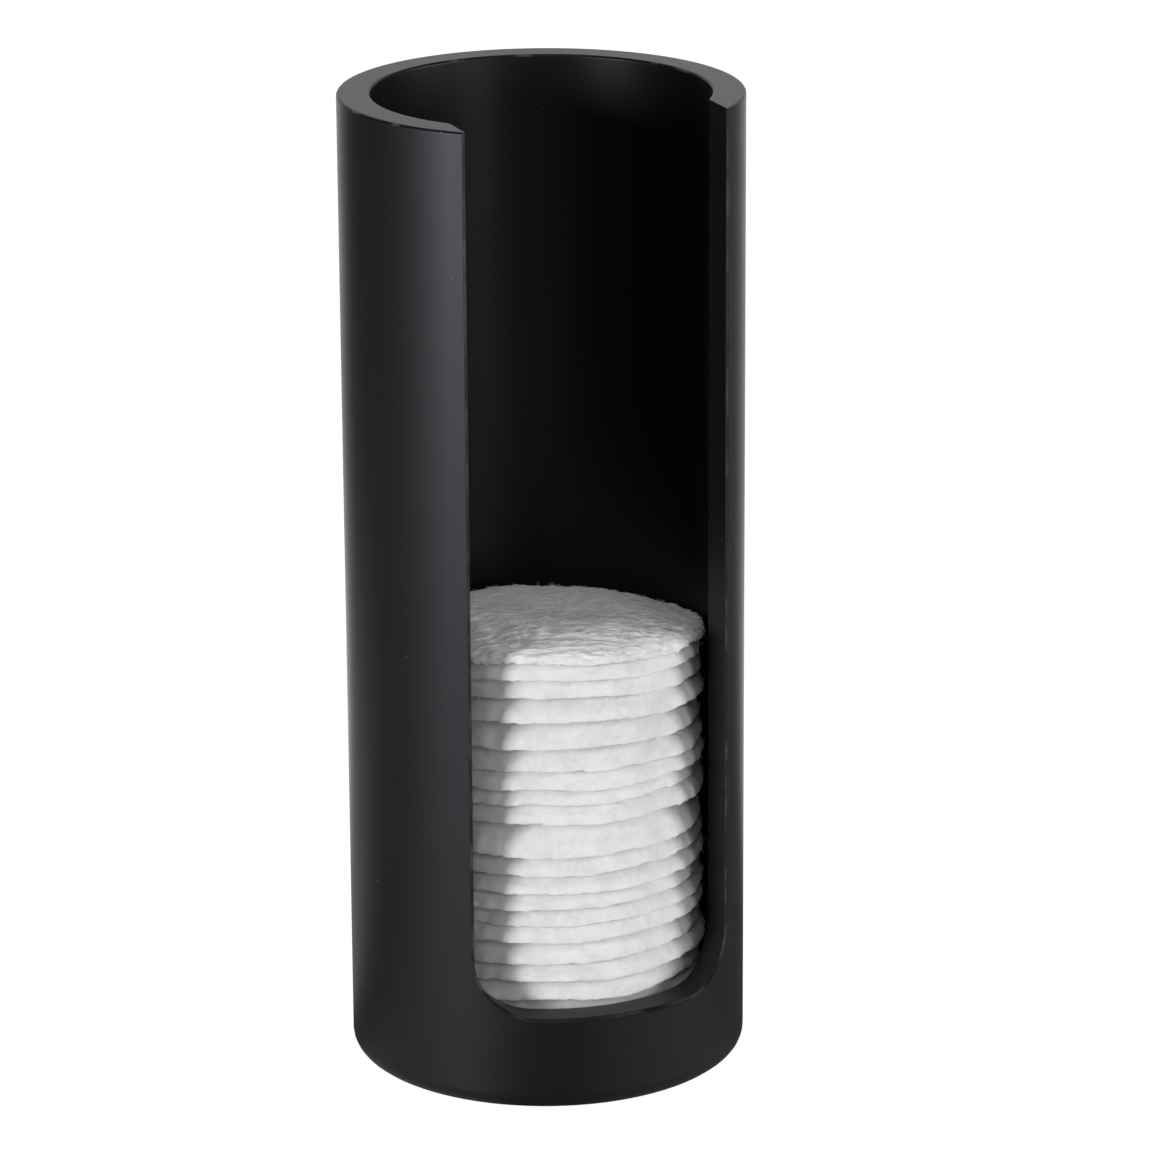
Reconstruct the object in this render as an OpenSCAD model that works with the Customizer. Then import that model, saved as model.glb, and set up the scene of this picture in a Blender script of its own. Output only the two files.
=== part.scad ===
// Cotton pad holder: a straight round tube with a closed floor and a tall front
// slot that runs out through the rim, standing on a soft foot pad and holding a
// stack of round cotton pads. Millimetres, +Z up. The origin is the middle of
// the footprint on the table, and the slot faces -Y.

/* [Tube] */
// Height of the tube, from its underside to its rim
tube_h = 178.5; // [120:0.5:240]
// Play between a pad and the bore, all round
bore_play = 1.5; // [0.9:0.1:4]
// Thickness of the tube's wall
wall_t = 5.9; // [3:0.1:7]
// Thickness of the floor under the stack
floor_t = 6; // [4:0.5:12]
// Rounding of the outer edge round the underside
base_round = 3; // [1:0.25:3.5]
// Rounding where the bore meets the floor
bore_cove = 1.5; // [0.5:0.25:1.5]
// Softening of the two edges of the rim
rim_round = 0.5; // [0.2:0.1:1]

/* [Front slot] */
// How far the wall on each side of the slot reaches in front of a pad
slot_grip = 4.45; // [2:0.05:12]
// Height of the slot's sill above the underside
sill_h = 17.6; // [12:0.1:40]
// Radius of the slot's two lower corners
slot_corner_r = 10; // [3:0.5:14]
// Softening of the slot's edges, on the outer wall and in the bore
slot_soft = 0.6; // [0.2:0.1:1]

/* [Foot pad] */
// Width of the bare ring between the foot pad and the tube's outer wall
foot_inset = 7; // [4:0.5:12]
// Thickness of the foot pad
foot_t = 1.5; // [1:0.1:2.5]
// How far the foot pad stands out below the underside
foot_proud = 0.5; // [0.3:0.1:1]
// Clearance round the foot pad in its recess
foot_clear = 0.4; // [0.2:0.1:1]

/* [Cotton pads] */
// Diameter of a cotton pad
pad_d = 57.2; // [45:0.1:80]
// Space left between two pads, and under the lowest one
pad_clear = 0.3; // [0.2:0.05:0.5]
// Share of a pad's thickness that its soft rim keeps
rim_share = 0.6; // [0.35:0.05:0.7]
// Share of a pad's crown that is on its upper side
top_share = 0.8; // [0.5:0.05:0.95]
// Heading that the leaning pads sink towards, from +X
lean_heading = 60; // [0:5:355]
// How far a pad lies off the tube's axis
pad_stray = 0.5; // [0:0.1:0.6]

/* [Hidden] */
eps = 0.01;

// Each cotton pad from the floor up, as [thickness, lean in degrees]. The pads at the
// bottom are pressed thin and lie flat. The ones above puff up and lean back.
pads = [
    [2.5, 0], [2.5, 0], [2.6, 0], [3.1, 0], [3.3, 0], [3.0, 0],
    [3.9, 0.3], [2.6, 0.5], [2.8, 0.5], [2.9, 0.5], [2.9, 0.5], [3.2, 0.5],
    [5.6, 1], [2.9, 2], [2.7, 2], [2.6, 2], [3.9, 2.6], [4.4, 3.2],
    [3.7, 3.8], [3.1, 4], [2.6, 4.2], [3.6, 4.3]
];
pad_count = len(pads);

pad_r = pad_d / 2;
bore_r = pad_r + bore_play;
tube_r = bore_r + wall_t;
foot_r = tube_r - foot_inset;
recess_r = foot_r + foot_clear;
recess_t = foot_t - foot_proud;
floor_z = foot_proud + floor_t;
slot_half = pad_r - slot_grip;
crown_steps = 5;
arc_steps = 6;
sill_steps = 8;
past_rim = 1;
stray_turn = 137;
$fn = 144;

function digits(i) = i < 10 ? str("0", i) : str(i);
function pad_name(i) = str("cotton_pad_", digits(i + 1));

// A pad's section, measured from the middle of its rim. The rim is a half round,
// and a wide arc runs from it to the crown above and to the flatter one below.
function rim_half(i) = rim_share * pads[i][0] / 2;
function crown_up(i) = rim_half(i) + top_share * (1 - rim_share) * pads[i][0];
function crown_down(i) = pads[i][0] - crown_up(i);
function rim_centre_r(i) = pad_r - rim_half(i);
// Radius of the wide arc that reaches this crown and meets the rim without a corner
function crown_arc_r(crown, i) =
    (pow(rim_centre_r(i), 2) + crown * crown - pow(rim_half(i), 2))
    / (2 * (crown - rim_half(i)));
// Height of the wide arc at a distance from the axis
function crown_z(crown, i, r) =
    crown - crown_arc_r(crown, i) + sqrt(pow(crown_arc_r(crown, i), 2) - r * r);

// A pad that leans more than the one below rolls on its crown, which lifts it a little.
function roll_r(i) =
    1 / (1 / crown_arc_r(crown_up(i), i) + 1 / crown_arc_r(crown_down(i + 1), i + 1));
function roll_lift(i) = roll_r(i) * pow(tan(pads[i + 1][1] - pads[i][1]), 2) / 2;

// Height of a pad's rim on the axis: each one is stacked on the crown below it
function pad_z(i) =
    i == 0
        ? floor_z + pad_clear + crown_down(0)
        : pad_z(i - 1) + crown_up(i - 1) + pad_clear + roll_lift(i - 1) + crown_down(i);

// Each pad strays another way than the one below, so that the rims don't line up
function stray(i) = pad_stray * [cos(stray_turn * i), sin(stray_turn * i)];

// Points along an arc round a centre, from one heading to another
function arc(centre, r, from, to) =
    [for (k = [0:arc_steps])
        let (heading = from + (to - from) * k / arc_steps)
        centre + r * [cos(heading), sin(heading)]];

// Half of the tube cut through its axis: underside, outer wall, rim, bore and floor
module tube_section() {
    polygon(concat(
        [[0, 0]],
        arc([tube_r - base_round, base_round], base_round, -90, 0),
        arc([tube_r - rim_round, tube_h - rim_round], rim_round, 0, 90),
        arc([bore_r + rim_round, tube_h - rim_round], rim_round, 90, 180),
        arc([bore_r - bore_cove, floor_t + bore_cove], bore_cove, 0, -90),
        [[0, floor_t]]
    ));
}

module tube_blank() {
    rotate_extrude()
        tube_section();
}

// The slot's outline as seen from the front, open at the top
module slot_outline() {
    translate([-slot_half, slot_corner_r])
        square([2 * slot_half, tube_h]);
    translate([-slot_half + slot_corner_r, 0])
        square([2 * (slot_half - slot_corner_r), slot_corner_r + eps]);
    for (side = [-1, 1])
        translate([side * (slot_half - slot_corner_r), slot_corner_r])
            circle(slot_corner_r);
}

module slot_cut() {
    translate([0, 0, sill_h])
        rotate([90, 0, 0])
            linear_extrude(tube_r + eps)
                slot_outline();
}

// Places along the slot's edge as [x, height, and the way into the wall in x and in
// height], from the rim on the left, round the sill, to the rim on the right
function side_place(side) = [side * slot_half, tube_h + past_rim, side, 0];
function corner_place(side, heading) =
    let (out = [side * cos(heading), -sin(heading)],
         middle = [side * (slot_half - slot_corner_r), sill_h + slot_corner_r],
         at = middle + slot_corner_r * out)
    [at.x, at.y, out.x, out.y];
function sill_place(share) = [share * (slot_half - slot_corner_r), sill_h, 0, -1];
edge_places = concat(
    [side_place(-1)],
    [for (k = [0:arc_steps]) corner_place(-1, 90 * k / arc_steps)],
    [for (k = [1:sill_steps - 1]) sill_place(2 * k / sill_steps - 1)],
    [for (k = [arc_steps:-1:0]) corner_place(1, 90 * k / arc_steps)],
    [side_place(1)]
);

// Section of the cut that takes the corner off the slot's edge on a wall of radius r.
// Way is 1 on the outer wall and -1 in the bore. Two of its points lie just outside the
// wall and just inside the slot, and the third stands clear of the corner.
function soft_section(p, r, way) =
    let (corner = [p[0], -sqrt(r * r - p[0] * p[0]), p[1]],
         x = p[0] + slot_soft * p[2],
         on_wall = [x, -sqrt(r * r - x * x), p[1] + slot_soft * p[3]],
         in_slot = corner + [0, way * slot_soft, 0],
         past = (on_wall - in_slot) / 4)
    [on_wall + past, in_slot - past, 2 * corner - (on_wall + in_slot) / 2];

// The same cut all along the slot's edge
module soft_edge(r, way) {
    count = len(edge_places);
    polyhedron(
        [for (p = edge_places) each soft_section(p, r, way)],
        concat(
            [way > 0 ? [0, 1, 2] : [2, 1, 0]],
            [for (k = [0:count - 2], i = [0:2])
                let (j = (i + 1) % 3, a = 3 * k + i, b = 3 * k + j)
                each way > 0
                    ? [[a, a + 3, b], [b, a + 3, b + 3]]
                    : [[b, a + 3, a], [b + 3, a + 3, b]]],
            [let (a = 3 * (count - 1)) way > 0 ? [a + 2, a + 1, a] : [a, a + 1, a + 2]]
        )
    );
}

module foot_recess() {
    translate([0, 0, -eps])
        cylinder(r = recess_r, h = recess_t + eps);
}

module holder() {
    color("#26262a")
        translate([0, 0, foot_proud])
            difference() {
                tube_blank();
                slot_cut();
                soft_edge(tube_r, 1);
                soft_edge(bore_r, -1);
                foot_recess();
            }
}

module foot_pad() {
    color("#1b1b1c")
        cylinder(r = foot_r, h = foot_t);
}

// Points of a wide arc from the axis out to the rim
function crown_points(crown, i) =
    [for (k = [0:crown_steps])
        let (r = k / crown_steps * rim_centre_r(i)) [r, crown_z(crown, i, r)]];

module pad_section(i) {
    polygon(concat(
        [for (k = [0:crown_steps - 1]) crown_points(crown_up(i), i)[k]],
        arc([rim_centre_r(i), 0], rim_half(i), 90, -90),
        [for (k = [crown_steps - 1:-1:0])
            let (p = crown_points(crown_down(i), i)[k]) [p.x, -p.y]]
    ));
}

module cotton_pad(i) {
    color("#f2f1ee")
        translate([stray(i).x, stray(i).y, pad_z(i)])
            rotate([0, 0, lean_heading])
                rotate([0, pads[i][1], 0])
                    rotate_extrude()
                        pad_section(i);
}

holder();
foot_pad();
for (i = [0:pad_count - 1])
    cotton_pad(i);
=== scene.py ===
import math

import bpy
import numpy as np
from mathutils import Matrix, Vector


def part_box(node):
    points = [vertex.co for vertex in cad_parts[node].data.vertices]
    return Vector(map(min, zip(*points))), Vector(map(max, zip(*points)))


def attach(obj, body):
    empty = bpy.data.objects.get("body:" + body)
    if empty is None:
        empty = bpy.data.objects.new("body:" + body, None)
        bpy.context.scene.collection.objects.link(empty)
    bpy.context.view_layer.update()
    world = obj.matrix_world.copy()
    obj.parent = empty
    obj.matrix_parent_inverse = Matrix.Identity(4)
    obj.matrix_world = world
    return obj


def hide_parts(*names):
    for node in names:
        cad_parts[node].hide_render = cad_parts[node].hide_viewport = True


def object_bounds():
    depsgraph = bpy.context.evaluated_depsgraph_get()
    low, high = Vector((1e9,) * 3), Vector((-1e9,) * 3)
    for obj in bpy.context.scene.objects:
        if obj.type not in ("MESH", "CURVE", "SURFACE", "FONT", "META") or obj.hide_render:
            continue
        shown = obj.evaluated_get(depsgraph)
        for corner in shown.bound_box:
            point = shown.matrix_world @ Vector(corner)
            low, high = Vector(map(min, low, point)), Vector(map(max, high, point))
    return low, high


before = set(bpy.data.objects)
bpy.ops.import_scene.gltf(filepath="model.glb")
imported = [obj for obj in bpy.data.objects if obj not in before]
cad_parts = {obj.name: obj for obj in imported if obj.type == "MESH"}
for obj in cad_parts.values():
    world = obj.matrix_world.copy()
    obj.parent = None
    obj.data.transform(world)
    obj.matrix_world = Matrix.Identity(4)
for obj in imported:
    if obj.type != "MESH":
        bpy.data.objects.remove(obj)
cadLow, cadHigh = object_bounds()
mm = 0.001
topPad = 22  # the pads are numbered from the floor up
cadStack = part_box(f"cotton_pad_{topPad:02d}")[1][2]  # height of the whole stack


# Node trees

class Wire:
    # One socket of a node tree. Sums on it add Math nodes to the tree.
    def __init__(self, tree, socket):
        self.tree = tree
        self.socket = socket

    def __add__(self, other):
        return self.tree.sum("ADD", self, other)

    def __radd__(self, other):
        return self.tree.sum("ADD", other, self)

    def __sub__(self, other):
        return self.tree.sum("SUBTRACT", self, other)

    def __rsub__(self, other):
        return self.tree.sum("SUBTRACT", other, self)

    def __mul__(self, other):
        return self.tree.sum("MULTIPLY", self, other)

    def __rmul__(self, other):
        return self.tree.sum("MULTIPLY", other, self)

    def __lt__(self, other):
        return self.tree.sum("LESS_THAN", self, other)

    def __gt__(self, other):
        return self.tree.sum("GREATER_THAN", self, other)


class Tree:
    # A node tree, and the one way in which nodes are added to it
    def __init__(self, nodeTree):
        self.nodeTree = nodeTree

    def add(self, kind, settings=None, sockets=None, out=0):
        node = self.nodeTree.nodes.new(kind)
        for name, value in (settings or {}).items():
            setattr(node, name, value)
        for key, value in (sockets or {}).items():
            if isinstance(value, Wire):
                self.nodeTree.links.new(value.socket, node.inputs[key])
            else:
                node.inputs[key].default_value = value
        return Wire(self, node.outputs[out]) if len(node.outputs) else node

    def sum(self, operation, first, second):
        return self.add("ShaderNodeMath", {"operation": operation}, {0: first, 1: second})

    def mixture(self, shares, wires):
        # The sum of the wires, each times its share
        parts = [share * wire for share, wire in zip(shares, wires)]
        total = parts[0]
        for part in parts[1:]:
            total = total + part
        return total

    def fade(self, value, low, high):
        # 0 below low, 1 above high, and smooth between them
        return self.add("ShaderNodeMapRange", {"interpolation_type": "SMOOTHSTEP"},
                        {"Value": value, "From Min": low, "From Max": high})

    def mixColours(self, share, first, second):
        return self.add("ShaderNodeMix", {"data_type": "RGBA"},
                        {"Factor": share, 6: first, 7: second}, out=2)

    def vectorLength(self, vector):
        return self.add("ShaderNodeVectorMath", {"operation": "LENGTH"}, {0: vector}, out="Value")

    def scaled(self, vector, factors):
        return self.add("ShaderNodeVectorMath", {"operation": "MULTIPLY"}, {0: vector, 1: factors})

    def stretched(self, vector, perMm, turn=0.0):
        # The vector measured in cells, so many to the millimetre along each axis
        return self.add("ShaderNodeMapping", None,
                        {"Vector": vector, "Rotation": (0, 0, turn), "Scale": [n / mm for n in perMm]})

    def noise(self, vector, detail=2.0, roughness=0.5):
        return self.add("ShaderNodeTexNoise", None,
                        {"Vector": vector, "Scale": 1.0, "Detail": detail, "Roughness": roughness})


def newMaterial(name):
    material = bpy.data.materials.new(name)
    material.use_nodes = True
    material.node_tree.nodes.clear()
    return material, Tree(material.node_tree)


def setSurface(tree, sockets):
    surface = tree.add("ShaderNodeBsdfPrincipled", None, sockets)
    tree.add("ShaderNodeOutputMaterial", None, {"Surface": surface})


# Finishes

cottonLook = {
    "light": (0.945, 0.945, 0.96, 1),
    "shade": (0.83, 0.83, 0.85, 1),  # where the web is thin
    "strand": (0.97, 0.97, 0.98, 1),
    "streakPerMm": (0.22, 0.9, 0.9),  # cells along, across and through the web
    "cloudPerMm": 0.20,
    "fuzzPerMm": 2.6,
    "strandPerMm": (0.26, 2.4, 2.4),
    "strandTurn": 0.15,
    "strandFade": (0.60, 0.72),
    "strandShare": 0.8,
    "thickMix": (0.35, 0.50, 0.15),  # of streaks, clouds and fuzz
    "thickFade": (0.36, 0.60),
    "heightMix": (0.6, 0.6, 0.35, 0.1),  # of streaks, clouds, strands and fuzz
    "pressed": 0.95,  # how much of that is lost on the sloping edge
    "edgeFuzz": 0.03,
    "relief": 0.60 * mm,
    "bump": 0.9,
    "roughness": 1.0,
    "specular": 0.1,
    "sheen": 0.04,
    "sheenRoughness": 0.6,
}


def cottonFinish():
    look = cottonLook
    material, tree = newMaterial("softCotton")
    grain = tree.add("ShaderNodeAttribute", {"attribute_name": "grain"}, out="Vector")
    rim = tree.add("ShaderNodeAttribute", {"attribute_name": "rim"}, out="Fac")
    face = 1 - look["pressed"] * rim
    streak = tree.noise(tree.stretched(grain, look["streakPerMm"]), detail=4, roughness=0.6)
    cloud = tree.noise(tree.stretched(grain, [look["cloudPerMm"]] * 3), detail=3)
    fuzz = tree.noise(tree.stretched(grain, [look["fuzzPerMm"]] * 3), detail=3, roughness=0.65)
    strand = tree.noise(tree.stretched(grain, look["strandPerMm"], look["strandTurn"]), detail=3)
    strand = tree.fade(strand, *look["strandFade"])
    thick = tree.fade(tree.mixture(look["thickMix"], (streak, cloud, fuzz)), *look["thickFade"])
    height = face * tree.mixture(look["heightMix"], (streak, cloud, strand, fuzz)) + look["edgeFuzz"] * fuzz
    bump = tree.add("ShaderNodeBump", None,
                    {"Height": height, "Strength": look["bump"], "Distance": look["relief"]})
    ground = tree.mixColours(thick, look["shade"], look["light"])
    setSurface(tree, {
        "Base Color": tree.mixColours(look["strandShare"] * strand * face, ground, look["strand"]),
        "Roughness": look["roughness"],
        "Specular IOR Level": look["specular"],
        "Sheen Weight": look["sheen"],
        "Sheen Roughness": look["sheenRoughness"],
        "Normal": bump,
    })
    return material


holderLook = {
    "black": (0.0040, 0.0040, 0.0050, 1),
    "dust": (0.16, 0.16, 0.165, 1),
    "speckPerMm": 0.12,
    "speckSize": 0.016,  # in cells
    "roughness": 0.39,
    "smudged": 0.06,  # rougher by this where it is smudged most
    "smudgePerMm": 0.05,
    "specular": 0.38,
    "tint": (0.92, 0.90, 1.0, 1),
    "peelPerMm": 1.6,
    "grainPerMm": 4.5,
    "grainShare": 0.35,
    "relief": 0.03 * mm,
    "bump": 0.3,
}

wearAndHighlightLook = {
    "bare": (0.17, 0.17, 0.175, 1),  # where an edge has lost its black, and a painted highlight along the rim and slot edges
    "share": 0.45,
    "breaksPerMm": 0.16,
    "bore": 30.1 * mm,  # the edges' places on the holder
    "slotHalf": 24.15 * mm,
    "slotCorner": 10.0 * mm,
    "sill": 18.1 * mm,
    "rimCut": (-0.46 * mm, -0.34 * mm),  # past the rim's sharp corner, along height and radius together
    "rimBreaks": (0.56, 0.66),
    "chipCut": (-1.5 * mm, -0.7 * mm),
    "chipScuff": (0.70, 0.73),
    "slotNear": (0.04 * mm, 0.16 * mm),  # the band of wear and painted highlight lies between these distances from the slot
    "slotFar": (0.46 * mm, 0.58 * mm),
    "slotBreaks": (0.40, 0.74),
    "slotShare": 0.75,
    "outside": (33.0 * mm, 34.0 * mm),  # distances from the axis
    "slotEnd": 0.2 * mm,  # below the rim
}


def edgeWearAndHighlight(tree, place):
    # 1 along the softened edges of the rim and the slot, in short broken lines: wear of the paint and a
    # painted highlight; the chips near the outer rim are wear
    look = wearAndHighlightLook
    tube, top = cadHigh[0], cadHigh[2]
    reach = tree.vectorLength(tree.scaled(place, (1, 1, 0)))
    apart = tree.add("ShaderNodeSeparateXYZ", None, {"Vector": place}).socket.node
    x, y, z = [Wire(tree, apart.outputs[name]) for name in ("X", "Y", "Z")]
    breaks = tree.noise(tree.stretched(place, [look["breaksPerMm"]] * 3), detail=3)
    chips = tree.noise(tree.stretched(place, [2 * look["breaksPerMm"]] * 3))
    outerCorner, innerCorner = top + tube, top - look["bore"]
    outerRim = tree.fade(z + reach, *[outerCorner + cut for cut in look["rimCut"]])
    innerRim = tree.fade(z - reach, *[innerCorner + cut for cut in look["rimCut"]])
    # lighter along the rim's corners: wear and a painted highlight
    rim = (outerRim + innerRim) * tree.fade(breaks, *look["rimBreaks"])
    chipped = tree.fade(z + reach, *[outerCorner + cut for cut in look["chipCut"]])
    chipped = chipped * tree.fade(chips, *look["chipScuff"])
    straight = look["slotHalf"] - look["slotCorner"]
    aside = tree.sum("MAXIMUM", tree.sum("ABSOLUTE", x, 0.0) - straight, 0.0)
    below = tree.sum("MAXIMUM", look["sill"] + look["slotCorner"] - z, 0.0)
    away = tree.sum("POWER", aside * aside + below * below, 0.5) - look["slotCorner"]
    band = tree.fade(away, *look["slotNear"]) * (1 - tree.fade(away, *look["slotFar"]))
    front = tree.fade(reach, *look["outside"]) * (y < 0.0) * (z < top - look["slotEnd"])
    # lighter beside the slot's edges: wear and a painted highlight
    slot = look["slotShare"] * band * front * tree.fade(breaks, *look["slotBreaks"])
    return tree.sum("MINIMUM", rim + chipped + slot, 1.0)


def holderFinish():
    look = holderLook
    material, tree = newMaterial("satinBlack")
    place = tree.add("ShaderNodeTexCoord", out="Object")
    peel = tree.noise(tree.stretched(place, [look["peelPerMm"]] * 3))
    grain = tree.noise(tree.stretched(place, [look["grainPerMm"]] * 3))
    smudge = tree.noise(tree.stretched(place, [look["smudgePerMm"]] * 3), detail=4)
    cells = tree.stretched(place, [look["speckPerMm"]] * 3)
    reach = tree.add("ShaderNodeTexVoronoi", None, {"Vector": cells, "Scale": 1.0}, out="Distance")
    dusty = tree.mixColours(reach < look["speckSize"], look["black"], look["dust"])
    # edges lightened partly by wear, partly by a painted highlight
    wornAndHighlit = wearAndHighlightLook["share"] * edgeWearAndHighlight(tree, place)
    bump = tree.add("ShaderNodeBump", None, {
        "Height": peel + look["grainShare"] * grain, "Strength": look["bump"], "Distance": look["relief"]})
    setSurface(tree, {
        "Base Color": tree.mixColours(wornAndHighlit, dusty, wearAndHighlightLook["bare"]),
        "Roughness": look["roughness"] + look["smudged"] * smudge,
        "Specular IOR Level": look["specular"],
        "Specular Tint": look["tint"],
        "Normal": bump,
    })
    return material


footLook = {
    "pore": (0.006, 0.006, 0.006, 1),
    "foam": (0.016, 0.016, 0.016, 1),
    "porePerMm": 2.5,
    "relief": 0.1 * mm,
    "bump": 0.6,
    "roughness": 0.85,
}


def footFinish():
    look = footLook
    material, tree = newMaterial("blackFoam")
    place = tree.add("ShaderNodeTexCoord", out="Object")
    pores = tree.noise(tree.stretched(place, [look["porePerMm"]] * 3))
    bump = tree.add("ShaderNodeBump", None,
                    {"Height": pores, "Strength": look["bump"], "Distance": look["relief"]})
    setSurface(tree, {
        "Base Color": tree.mixColours(pores, look["pore"], look["foam"]),
        "Roughness": look["roughness"],
        "Normal": bump,
    })
    return material


cotton = cottonFinish()
print("finishes made")


# Holder and foot pad

for node, finish in (("holder", holderFinish()), ("foot_pad", footFinish())):
    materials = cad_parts[node].data.materials
    materials.clear()
    materials.append(finish)
print("holder finished")


# Cotton pads

padLook = {
    "segments": 400,
    "faceRings": 9,
    "topFaceRings": 78,  # on the pad that shows its whole upper face
    "edgeStep": 0.21 * mm,  # between rings on the soft edge
    "shoulder": 7.6 * mm,  # how far in from the edge a pad still gives way
    "softening": 1.6,  # how fast it gets stiffer on the way in
    "wave": 0.40 * mm,  # how far the edges wander up and down together
    "waveReach": 9.0 * mm,  # height over which the wander changes
    "waveLevels": 12,
    "pressedTo": 8.0 * mm,  # up to this height the pads are pressed flat
    "looseFrom": 22.0 * mm,  # and from this one they wander freely
    "ripple": 0.14 * mm,  # how far each edge wanders on its own
    "rippleReach": 2.4 * mm,
    "thickness": 0.08,  # how much its thickness changes round the edge
    "lip": 0.10 * mm,  # raggedness of the sharp lower edge
    "lipReach": 0.7 * mm,
    "fray": 0.20 * mm,  # how far the outline wanders in and out
    "frayIn": 1.3,  # and how far in it starts, in frays
    "swell": 0.06 * mm,  # how far the faces fill the space between two pads
    "flat": 0.6,  # share of the radius over which a face is flat
    "hang": 0.32 * mm,  # how far the lower edge hangs over the pad below
    "hangSlope": 5.0 * mm,  # over a pad with a steeper slope than this it hangs less
    "nose": (0.12 * mm, 0.02 * mm),  # the lowest point of that edge, in and down
    "tuck": ((0.9 * mm, 0.3), (1.9 * mm, 0.85)),  # further in, and how much of the hang is gone
    "slopeStep": 6,  # degrees between the knots of a slope
    "slopeEnd": 1.05,  # where it meets the face, in slopes
    "flatFrom": 1.1,
    "slope": 6.0,  # how far in the upper side slopes up from the edge, in mm
    "slopes": {  # and on these pads
        5: 6.8, 7: 7.4, 8: 3.2, 12: 6.8, 13: 9.4, 14: 3.6, 15: 4.4, 16: 3.2,
        17: 7.8, 18: 8.4, 19: 5.8, 20: 3.2, 21: 2.8, 22: 2.8,
    },
    "topEdge": 2.3 * mm,  # height of the top pad's steep edge
    "topCrown": 15.0 * mm,  # how far in its upper face goes on rising
    "topFlat": 0.75,
    "crownKnots": 8,
    "topTurn": -14,  # the way its web runs, in degrees
    "topOpen": 0.85,  # how loose its web is
    "underOpen": 0.15,  # and the web on the underside of every pad
    "webSeed": 7,
    "webApart": 10.0 * mm,  # so that no two pads have the same web
    "rimReach": 1.6,  # how far in the web is pressed, in slopes
    "droop": 3.0 * mm,  # how far the top pad's far edge hangs down
    "droopHeading": 52,
    "droopPast": 0.15,  # cosine past a right angle to that heading where the hanging ends
    "droopPower": 1.5,
    "droopFrom": 17.0 * mm,  # distances from the axis
    "droopTo": 29.0 * mm,
    "droopDepth": 7.0 * mm,  # how deep into the stack it goes on
    "stackTop": cadStack,
}

padWaves = {
    # each wave's turns round the pad, and its seed, to which a pad adds its number
    "ripple": (range(9, 26), 0),
    "lip": (range(28, 60, 3), 50),
    "lipFine": (range(61, 140, 5), 60),
    "outline": (range(1, 7), 100),
    "outlineFine": (range(8, 60, 3), 150),
    "thickness": (range(1, 9), 200),
    "stack": (range(2, 9), 300),
}

napLook = {
    "relief": 0.12 * mm,
    "lump": 0.10 * mm,
    "topRelief": 1.15 * mm,  # on the upper face of the top pad
    "topLump": 0.34 * mm,
    "webPerMm": (0.24, 1.0, 1.0),
    "lumpPerMm": (0.16, 0.16, 0.3),
    "wispLength": 1.7 * mm,
    "wispRadius": 0.028 * mm,
    "wispShortest": 0.35,  # share of the length
    "wispLean": 0.35,
    "wispArch": ((0, 0, -0.02), (0.5, 0.22, 0.34), (1, -0.12, 0.16)),  # in lengths
    "wispsPerM2": 340000,
    "seed": 4,
}


def smooth(share):
    return share * share * (3 - 2 * share)


def slopeOf(number):
    return padLook["slopes"].get(number, padLook["slope"]) * mm


def padFrame(node):
    # Middle of the rim, axis, radius and the heights of both crowns of a pad's solid
    rimBand, edgeBand = 0.35 * mm, 0.03 * mm
    points = np.array([v.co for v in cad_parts[node].data.vertices])
    middle = (points.min(axis=0) + points.max(axis=0)) / 2
    reach = np.linalg.norm((points - middle)[:, :2], axis=1)
    rim = points[reach > reach.max() - rimBand]
    axis = np.linalg.svd(rim - rim.mean(axis=0))[2][2]
    axis = axis * np.sign(axis[2])
    side = np.cross((0.0, 1.0, 0.0), axis)
    side = side / np.linalg.norm(side)
    across = np.cross(axis, side)
    flat = np.stack([points @ side, points @ across, points @ axis], axis=1)
    centre = (flat.min(axis=0) + flat.max(axis=0)) / 2
    far = np.linalg.norm(flat[:, :2] - centre[:2], axis=1)
    rimHeight = flat[far > far.max() - edgeBand][:, 2]
    level = (rimHeight.min() + rimHeight.max()) / 2
    return {
        "centre": side * centre[0] + across * centre[1] + axis * level,
        "side": side,
        "across": across,
        "axis": axis,
        "radius": far.max(),
        "up": flat[:, 2].max() - level,
        "down": level - flat[:, 2].min(),
    }


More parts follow.
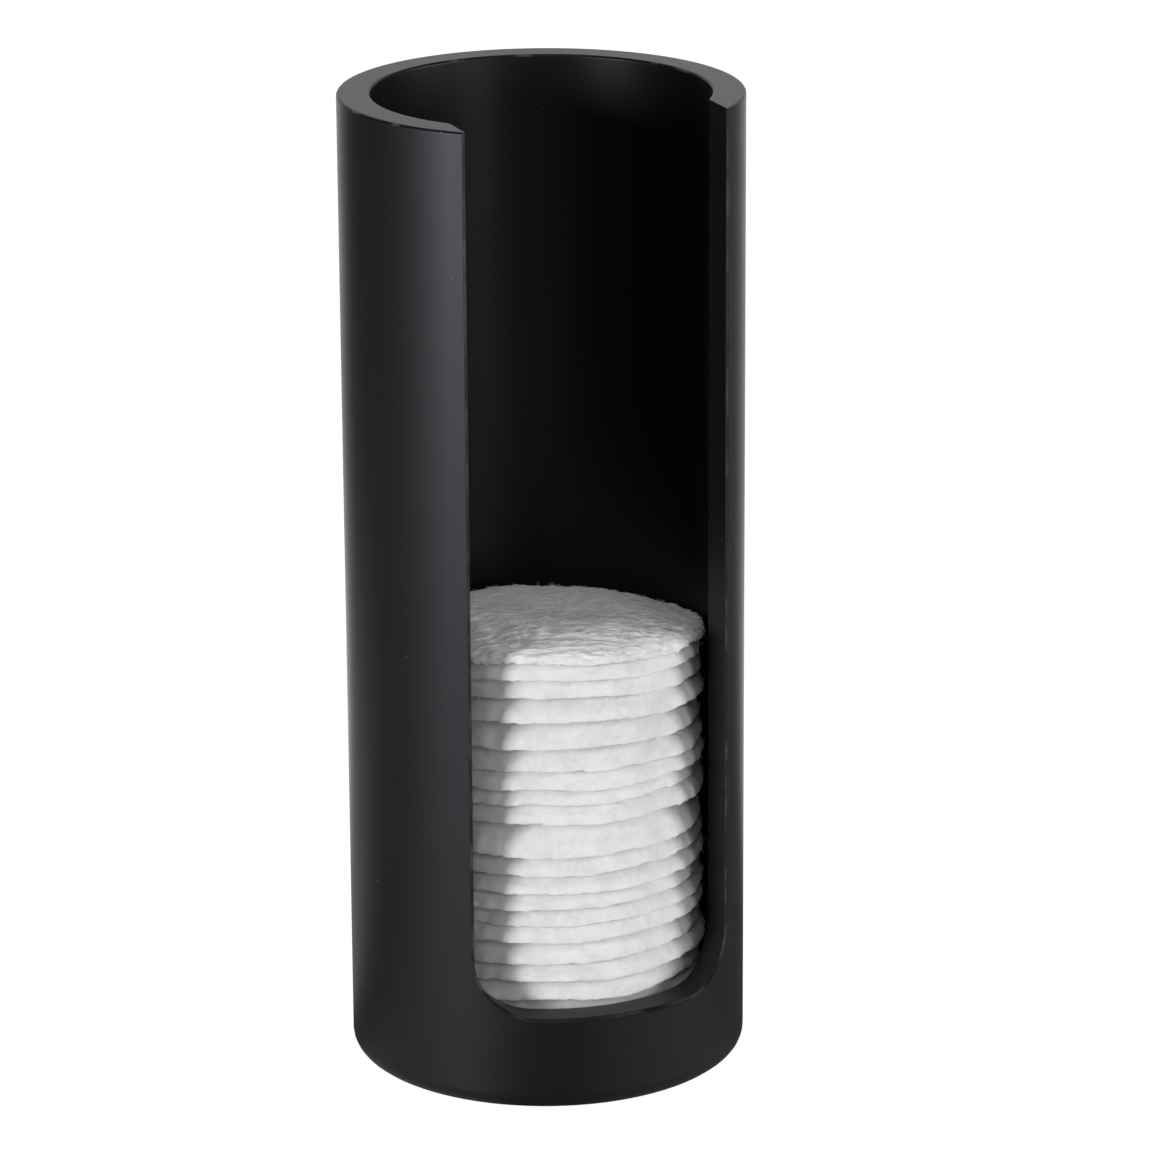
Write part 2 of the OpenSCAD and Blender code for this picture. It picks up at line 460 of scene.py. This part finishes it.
def padSection(pad, number):
    # Distance in from the edge and height of each ring, from the upper middle to the lower one
    look = padLook
    radius = pad["radius"]
    flat = look["flat"] * radius
    slope = slopeOf(number)
    up = pad["up"] + look["swell"] * (number < topPad)
    down = pad["down"] + look["swell"]
    hang = look["hang"] * min(1, slopeOf(number - 1) / look["hangSlope"]) * (number > 1)
    low = -down - hang
    steep = up - low
    shoulder = max(look["shoulder"], look["flatFrom"] * slope)
    face = [(radius, up), (flat, up), (shoulder, up), (look["slopeEnd"] * slope, up)]
    if number == topPad:  # a thin steep edge, and a face that goes on rising
        steep = look["topEdge"]
        crown = look["topCrown"]
        rises = np.linspace(1, 0, look["crownKnots"], endpoint=False)
        face = [(radius, up), (look["topFlat"] * radius, up)]
        face += [(slope + (crown - slope) * r, up - (up - low - steep) * (1 - r) ** 2) for r in rises]
    quarter = np.radians(np.arange(90 - look["slopeStep"], -1, -look["slopeStep"]))
    upper = [(slope * (1 - math.cos(t)), low + steep * math.sin(t)) for t in quarter]
    nose = [(look["nose"][0], low - look["nose"][1])]
    tuck = [(inward, low + gone * hang) for inward, gone in look["tuck"]]
    under = [(look["shoulder"], -down), (flat, -down), (radius, -down)]
    knots = np.array(face + upper + nose + tuck + under)
    run = np.concatenate([[0], np.cumsum(np.linalg.norm(np.diff(knots, axis=0), axis=1))])
    start = run[len(face) - 1]
    stop = run[-len(under) - 1]
    faceRings = look["topFaceRings" if number == topPad else "faceRings"]
    along = np.concatenate([
        np.linspace(0, start, faceRings, endpoint=False),
        np.linspace(start, stop, int((stop - start) / look["edgeStep"]), endpoint=False),
        np.linspace(stop, run[-1], look["faceRings"]),
    ])
    inward = np.interp(along, run, knots[:, 0])
    height = np.interp(along, run, knots[:, 1])
    for _ in range(2):  # rounds off the knots
        inward[1:-1] = 0.5 * inward[1:-1] + 0.25 * (inward[:-2] + inward[2:])
        height[1:-1] = 0.5 * height[1:-1] + 0.25 * (height[:-2] + height[2:])
    noseRun = run[len(face) + len(upper)]
    lip = np.exp(-np.abs(along - noseRun) / look["lipReach"])
    return inward, height, lip


def wander(angles, name, number):
    # A smooth closed wave round the pad, between about -1 and 1
    turns, seed = padWaves[name]
    dice = np.random.default_rng(seed + number)
    total = np.zeros_like(angles)
    for turn in turns:
        total += np.cos(turn * angles + dice.uniform(0, 2 * math.pi)) * dice.uniform(0.5, 1)
    return total / math.sqrt(len(turns))


def stackWave(angles, height):
    # A wave that changes slowly up the stack, so that pads that touch wander together
    count = padLook["waveLevels"]
    levels = np.array([wander(angles, "stack", level) for level in range(count)])
    place = np.clip(height / padLook["waveReach"], 0, count - 2)
    lower = np.floor(place).astype(int)
    share = smooth(place - lower)
    column = np.arange(len(angles))[None, :]
    return (1 - share) * levels[lower, column] + share * levels[lower + 1, column]


def contactTilt(pad, other):
    # Slope, in the pad's own directions, of the plane halfway between it and the next pad
    if other is None:
        return 0.0, 0.0
    axis = pad["axis"] + other["axis"]
    rise = axis @ pad["axis"]
    return -(axis @ pad["side"]) / rise, -(axis @ pad["across"]) / rise


def drooped(points):
    # The far side of the top pads hangs down over the ones below, less and less down the stack
    look = padLook
    reach = np.linalg.norm(points[:, :2], axis=1)
    near = smooth(np.clip((reach - look["droopFrom"]) / (look["droopTo"] - look["droopFrom"]), 0, 1))
    turn = math.radians(look["droopHeading"])
    heading = (points[:, 0] * math.cos(turn) + points[:, 1] * math.sin(turn)) / np.maximum(reach, mm)
    hang = np.clip((heading + look["droopPast"]) / (1 + look["droopPast"]), 0, 1) ** look["droopPower"]
    depth = np.maximum(look["stackTop"] - points[:, 2], 0)
    drop = look["droop"] * near * hang * np.exp(-depth / look["droopDepth"])
    return points - drop[:, None] * np.array([[0, 0, 1]])


def padPoints(pad, number, inward, height, lip, edge):
    # The section swept round, ring by ring, in the pad's own directions, with a pole at each end
    look = padLook
    angles = np.arange(look["segments"]) * (2 * math.pi / look["segments"])
    loose = number > 1  # the lowest one lies flat on the floor
    wave = {name: wander(angles, name, number) for name in padWaves}
    ripple = loose * look["ripple"] * wave["ripple"]
    ragged = loose * look["lip"] * (wave["lip"] + wave["lipFine"])
    outline = look["fray"] * (wave["outline"] + 0.5 * wave["outlineFine"])
    thick = look["thickness"] * wave["thickness"]
    outer = np.clip(1 - inward / look["rippleReach"], 0, 1)[:, None]
    radius = (pad["radius"] - inward)[:, None] + edge[:, None] * (outline - look["frayIn"] * look["fray"])
    x = radius * np.cos(angles)
    y = radius * np.sin(angles)
    z = height[:, None] * (1 + outer * thick) + outer * ripple + lip[:, None] * ragged
    rise = ((height - height.min()) / (height.max() - height.min()))[:, None]
    aboveX, aboveY = contactTilt(pad, pads.get(number + 1))
    belowX, belowY = contactTilt(pad, pads.get(number - 1))
    z = z + rise * (aboveX * x + aboveY * y) + (1 - rise) * (belowX * x + belowY * y)
    level = z + pad["centre"][2]
    free = np.clip((level - look["pressedTo"]) / (look["looseFrom"] - look["pressedTo"]), 0, 1)
    z = z + look["wave"] * edge[:, None] * free * stackWave(angles, level)
    rings = np.stack([x, y, z], axis=2)[1:-1].reshape(-1, 3)
    return np.concatenate([rings, [[0, 0, height[0]], [0, 0, height[-1]]]])


def padFaces(rings, count):
    # Faces between the rings, and a fan round each pole
    faces = []
    for ring in range(rings - 1):
        for k in range(count):
            a = ring * count + k
            b = ring * count + (k + 1) % count
            faces.append((a, a + count, b + count, b))
    upperPole = rings * count
    lastRing = upperPole - count
    for k in range(count):
        faces.append((upperPole, k, (k + 1) % count))
        faces.append((upperPole + 1, lastRing + (k + 1) % count, lastRing + k))
    return faces


def addLayer(mesh, name, kind, values):
    layer = mesh.attributes.new(name, kind, "POINT")
    layer.data.foreach_set("vector" if kind == "FLOAT_VECTOR" else "value", values.astype(np.float32).ravel())


def padMesh(name, number):
    look = padLook
    pad = pads[number]
    inward, height, lip = padSection(pad, number)
    edge = np.clip(1 - inward / look["shoulder"], 0, 1) ** look["softening"]
    local = padPoints(pad, number, inward, height, lip, edge)
    place = drooped(pad["centre"] + local @ np.array([pad["side"], pad["across"], pad["axis"]]))
    count = look["segments"]
    mesh = bpy.data.meshes.new(name)
    mesh.from_pydata(place.tolist(), [], padFaces(len(inward) - 2, count))
    mesh.shade_smooth()

    def perPoint(values):
        return np.concatenate([np.repeat(values[1:-1], count), [0, 0]])

    turn = np.random.default_rng(number + look["webSeed"]).uniform(0, math.pi)
    if number == topPad:
        turn = math.radians(look["topTurn"])
    along = local[:, 0] * math.cos(turn) + local[:, 1] * math.sin(turn)
    across = local[:, 1] * math.cos(turn) - local[:, 0] * math.sin(turn)
    through = local[:, 2] + number * look["webApart"]
    addLayer(mesh, "grain", "FLOAT_VECTOR", np.stack([along, across, through], axis=1))
    under = np.arange(len(inward)) > np.argmin(inward) + 2
    webOpen = perPoint(edge * np.where(under, look["underOpen"], 1))
    if number == topPad:
        webOpen = np.where(local[:, 2] > 0, np.maximum(webOpen, look["topOpen"]), webOpen)
    addLayer(mesh, "open", "FLOAT", webOpen)
    addLayer(mesh, "rim", "FLOAT", perPoint(np.clip(look["rimReach"] - inward / slopeOf(number), 0, 1)))
    return mesh


def cottonNap():
    # Adds to a pad the fine lumps of its web, and the wisps that stand out of it
    look = napLook
    sockets = {
        "Geometry": "NodeSocketGeometry",
        "Relief": "NodeSocketFloat",
        "Lump": "NodeSocketFloat",
        "Wisp Length": "NodeSocketFloat",
        "Wisp Radius": "NodeSocketFloat",
        "Wisps per m2": "NodeSocketFloat",
        "Seed": "NodeSocketInt",
        "Finish": "NodeSocketMaterial",
    }
    group = bpy.data.node_groups.new("cottonNap", "GeometryNodeTree")
    for name, kind in sockets.items():
        group.interface.new_socket(name, in_out="INPUT", socket_type=kind)
    group.interface.new_socket("Geometry", in_out="OUTPUT", socket_type="NodeSocketGeometry")
    tree = Tree(group)
    given = group.nodes.new("NodeGroupInput").outputs
    pad, relief, lump, length, radius, perArea, seed, finish = [Wire(tree, given[name]) for name in sockets]

    grain = tree.add("GeometryNodeInputNamedAttribute", {"data_type": "FLOAT_VECTOR"}, {"Name": "grain"})
    webOpen = tree.add("GeometryNodeInputNamedAttribute", {"data_type": "FLOAT"}, {"Name": "open"})
    normal = tree.add("GeometryNodeInputNormal")
    web = tree.noise(tree.scaled(grain, [n / mm for n in look["webPerMm"]]), detail=4, roughness=0.6)
    clump = tree.noise(tree.scaled(grain, [n / mm for n in look["lumpPerMm"]]))
    rise = relief * (web - 0.5) * 2 + lump * (clump - 0.5) * 4  # noise keeps near 0.5
    shift = tree.add("ShaderNodeVectorMath", {"operation": "SCALE"},
                     {"Vector": normal, "Scale": rise * webOpen})
    rough = tree.add("GeometryNodeSetPosition", None, {"Geometry": pad, "Offset": shift})

    points = tree.add("GeometryNodeDistributePointsOnFaces", {"distribute_method": "RANDOM"},
                      {"Mesh": rough, "Density": perArea * webOpen, "Seed": seed})
    facing = Wire(tree, points.socket.node.outputs["Rotation"])
    start, middle, end = look["wispArch"]
    arch = tree.add("GeometryNodeCurveQuadraticBezier", None,
                    {"Resolution": 4, "Start": start, "Middle": middle, "End": end})
    tube = tree.add("GeometryNodeCurvePrimitiveCircle", {"mode": "RADIUS"},
                    {"Resolution": 3, "Radius": tree.sum("DIVIDE", radius, length)})
    wisp = tree.add("GeometryNodeCurveToMesh", None,
                    {"Curve": arch, "Profile Curve": tube, "Fill Caps": True})
    lean = look["wispLean"]
    spin = tree.add("FunctionNodeRandomValue", {"data_type": "FLOAT_VECTOR"},
                    {"Min": (-lean, -lean, 0), "Max": (lean, lean, 2 * math.pi), "Seed": seed + 1})
    turned = tree.add("FunctionNodeRotateRotation", {"rotation_space": "LOCAL"},
                      {"Rotation": facing, "Rotate By": spin})
    size = tree.add("FunctionNodeRandomValue", {"data_type": "FLOAT"},
                    {2: look["wispShortest"], 3: 1.0, "Seed": seed + 2}, out=1)
    wisps = tree.add("GeometryNodeInstanceOnPoints", None,
                     {"Points": points, "Instance": wisp, "Rotation": turned, "Scale": size * length})
    real = tree.add("GeometryNodeRealizeInstances", None, {"Geometry": wisps})

    join = group.nodes.new("GeometryNodeJoinGeometry")
    for part in (rough, real):
        group.links.new(part.socket, join.inputs[0])
    dressed = tree.add("GeometryNodeSetMaterial", None,
                       {"Geometry": Wire(tree, join.outputs[0]), "Material": finish})
    group.links.new(dressed.socket, group.nodes.new("NodeGroupOutput").inputs[0])
    return group


def grown(piece, group, values):
    # Runs a Geometry Nodes tree on a piece and keeps the result as its plain mesh
    modifier = piece.modifiers.new(group.name, "NODES")
    modifier.node_group = group
    for item in group.interface.items_tree:
        if item.in_out == "INPUT" and item.name in values:
            modifier[item.identifier] = values[item.name]
    evaluated = piece.evaluated_get(bpy.context.evaluated_depsgraph_get())
    mesh = bpy.data.meshes.new_from_object(evaluated)
    piece.modifiers.clear()
    piece.data = mesh
    mesh.name = piece.name
    mesh.shade_smooth()


nap = cottonNap()
pads = {number: padFrame(f"cotton_pad_{number:02d}") for number in range(1, topPad + 1)}
for number in pads:
    name = f"softPad_{number:02d}"
    piece = bpy.data.objects.new(name, padMesh(name, number))
    bpy.context.scene.collection.objects.link(piece)
    grown(piece, nap, {
        "Relief": napLook["topRelief" if number == topPad else "relief"],
        "Lump": napLook["topLump" if number == topPad else "lump"],
        "Wisp Length": napLook["wispLength"],
        "Wisp Radius": napLook["wispRadius"],
        "Wisps per m2": napLook["wispsPerM2"],
        "Seed": napLook["seed"] + number * 10,
        "Finish": cotton,
    })
    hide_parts(f"cotton_pad_{number:02d}")
    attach(piece, f"pad_{number:02d}")
print("pads made")


# Camera, floor and lights

cameraView = {
    "azimuth": -21.6,  # degrees, 0 looks along +Y
    "elevation": 17.44,
    "roll": 0.327,
    "distance": 0.9833,
    "right": 5.62 * mm,  # how far the aim lies from the middle of the object
    "up": 0.14 * mm,
    "lens": 170.4,
    "sensor": 36.0,
}


def wayTo(azimuth, elevation):
    # Points from the object to a place around it, both in degrees
    a, e = math.radians(azimuth), math.radians(elevation)
    return Vector((math.sin(a) * math.cos(e), -math.cos(a) * math.cos(e), math.sin(e)))


def makeCamera():
    v = cameraView
    azimuth = math.radians(v["azimuth"])
    roll = math.radians(v["roll"])
    back = wayTo(v["azimuth"], v["elevation"])
    flatRight = Vector((math.cos(azimuth), math.sin(azimuth), 0))
    flatUp = back.cross(flatRight)
    right = math.cos(roll) * flatRight - math.sin(roll) * flatUp
    up = math.sin(roll) * flatRight + math.cos(roll) * flatUp
    place = (cadLow + cadHigh) / 2 + right * v["right"] + up * v["up"] + back * v["distance"]
    data = bpy.data.cameras.new("camera")
    data.lens = v["lens"]
    data.sensor_width = v["sensor"]
    data.clip_end = 20
    camera = bpy.data.objects.new("camera", data)
    camera.matrix_world = Matrix((
        (right.x, up.x, back.x, place.x),
        (right.y, up.y, back.y, place.y),
        (right.z, up.z, back.z, place.z),
        (0, 0, 0, 1),
    ))
    bpy.context.scene.collection.objects.link(camera)
    bpy.context.scene.camera = camera


studio = {
    # azimuth, elevation, distance, width, height, watts
    "leftBox": (-69.0, 5, 1.2, 0.30, 0.45, 10.5),
    "rightBox": (60.0, 8, 1.2, 0.50, 0.50, 7.6),
    "frontBox": (24.0, 4, 1.2, 0.30, 0.45, 2.7),
    "highBox": (-21.0, 35, 1.2, 0.50, 0.50, 1.0),
    "topBox": (-21.6, 89, 6.0, 2.25, 2.25, 53.8),  # high enough to light every lifted pad
}


def makeLights():
    middle = (cadLow + cadHigh) / 2
    for name, (azimuth, elevation, distance, width, height, watts) in studio.items():
        back = wayTo(azimuth, elevation)
        data = bpy.data.lights.new(name, "AREA")
        data.shape = "RECTANGLE"
        data.size = width
        data.size_y = height
        data.energy = watts
        lamp = bpy.data.objects.new(name, data)
        lamp.location = middle + back * distance
        lamp.rotation_mode = "QUATERNION"
        lamp.rotation_quaternion = (-back).to_track_quat("-Z", "Y")
        bpy.context.scene.collection.objects.link(lamp)


surround = {
    "seen": 1.0,
    "fill": 0.03,
    "mirrored": 1.05,  # the white backdrop behind the object, in its gloss
    "backdrop": 158.4,  # degrees, where the backdrop stands
    "backdropFade": (0.55, 0.97),  # cosines from its edge to where it is full
}

floorLook = {
    "colour": (0.42, 0.42, 0.42, 1),
    "half": 4.0,
    "seenNear": 0.93,  # its glow in the picture, close by and further off
    "seenFar": 1.0,
    "seenReach": (0.5, 1.5),
    # azimuth, and the floor's glow that way in the object's gloss, close by and further off
    "sweeps": ((158.4, 2.7, 1.6), (197.0, 0.4, 0.0), (-70.0, 0.25, 0.25), (28.0, 0.12, 0.12)),
    "sweepReach": (0.2, 0.4),
    "sweepFade": (0.75, 0.97),
}


def alongAzimuth(tree, vector, azimuth):
    return tree.add("ShaderNodeVectorMath", {"operation": "DOT_PRODUCT"},
                    {0: vector, 1: wayTo(azimuth, 0)}, out="Value")


def makeSurround():
    look = surround
    world = bpy.data.worlds.new("surround")
    world.use_nodes = True
    world.node_tree.nodes.clear()
    tree = Tree(world.node_tree)
    rays = ("Is Camera Ray", "Is Diffuse Ray", "Is Glossy Ray")
    seen, diffuse, mirrored = [tree.add("ShaderNodeLightPath", out=ray) for ray in rays]
    way = tree.add("ShaderNodeTexCoord", out="Generated")
    backdrop = tree.fade(alongAzimuth(tree, way, look["backdrop"]), *look["backdropFade"])
    strength = look["seen"] * seen + look["fill"] * diffuse + look["mirrored"] * backdrop * mirrored
    sky = tree.add("ShaderNodeBackground", None, {"Color": (1, 1, 1, 1), "Strength": strength})
    tree.add("ShaderNodeOutputWorld", None, {"Surface": sky})
    bpy.context.scene.world = world


def makeFloor():
    look = floorLook
    material, tree = newMaterial("paleFloor")
    seen = tree.add("ShaderNodeLightPath", out="Is Camera Ray")
    mirrored = tree.add("ShaderNodeLightPath", out="Is Glossy Ray")
    place = tree.add("ShaderNodeTexCoord", out="Object")
    reach = tree.vectorLength(place)
    plain = look["seenNear"] + (look["seenFar"] - look["seenNear"]) * tree.fade(reach, *look["seenReach"])
    further = tree.fade(reach, *look["sweepReach"])
    sweep = 0.0
    for azimuth, close, far in look["sweeps"]:
        heading = tree.sum("DIVIDE", alongAzimuth(tree, place, azimuth), reach)
        sweep = (close + (far - close) * further) * tree.fade(heading, *look["sweepFade"]) + sweep
    matt = tree.add("ShaderNodeBsdfDiffuse", None, {"Color": look["colour"]})
    glow = tree.add("ShaderNodeEmission", None,
                    {"Color": (1, 1, 1, 1), "Strength": plain * seen + sweep * mirrored})
    both = tree.add("ShaderNodeAddShader", None, {0: matt, 1: glow})
    tree.add("ShaderNodeOutputMaterial", None, {"Surface": both})
    half = look["half"]
    corners = [(-half, -half, 0), (half, -half, 0), (half, half, 0), (-half, half, 0)]
    mesh = bpy.data.meshes.new("floor")
    mesh.from_pydata(corners, [], [(0, 1, 2, 3)])
    mesh.materials.append(material)
    floor = bpy.data.objects.new("floor", mesh)
    bpy.context.scene.collection.objects.link(floor)


makeCamera()
makeLights()
makeSurround()
makeFloor()
bpy.context.scene.view_settings.view_transform = "Standard"
print("studio made")
